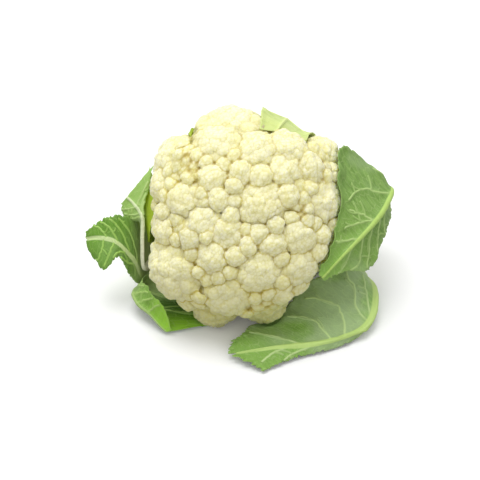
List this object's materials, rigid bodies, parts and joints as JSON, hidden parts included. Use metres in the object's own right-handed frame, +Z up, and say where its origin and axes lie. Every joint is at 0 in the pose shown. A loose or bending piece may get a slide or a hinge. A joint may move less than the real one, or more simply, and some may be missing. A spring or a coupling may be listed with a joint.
{
  "type": "cauliflower",
  "caption": "Cauliflower lying on its side: a domed cream curd of packed florets on a cut stalk, with green leaves folded round its sides and trimmed leaf stems behind.",
  "frame": {"origin": "on the surface that the head lies on, under the middle of its bounding box", "axes": "+X across the curd's face, along the longest side; +Y away from the face towards the stalk; +Z up"},
  "size_m": [0.2439, 0.1861, 0.1469],
  "materials": {
    "curd": "dull cream-white, granular, ochre in the creases",
    "leaf": "waxy mid-green with a grey bloom, pale ribs and veins",
    "inner_leaf": "thin and pale yellow-green",
    "stem": "smooth pale green, whiter on the cut faces"
  },
  "bodies": {
    "root": {"curd": "curd", "stalk": "stem", "leaf_right": "leaf", "leaf_front": "leaf", "leaf_left": "leaf", "leaf_lower_left": "leaf", "leaf_upper_left": "leaf", "inner_leaf_top": "inner_leaf", "inner_leaf_crown": "inner_leaf", "inner_leaf_left": "inner_leaf", "cut_petiole_1": "stem", "cut_petiole_2": "stem", "cut_petiole_3": "stem", "cut_petiole_4": "stem", "cut_petiole_5": "stem"}
  },
  "joints": []
}
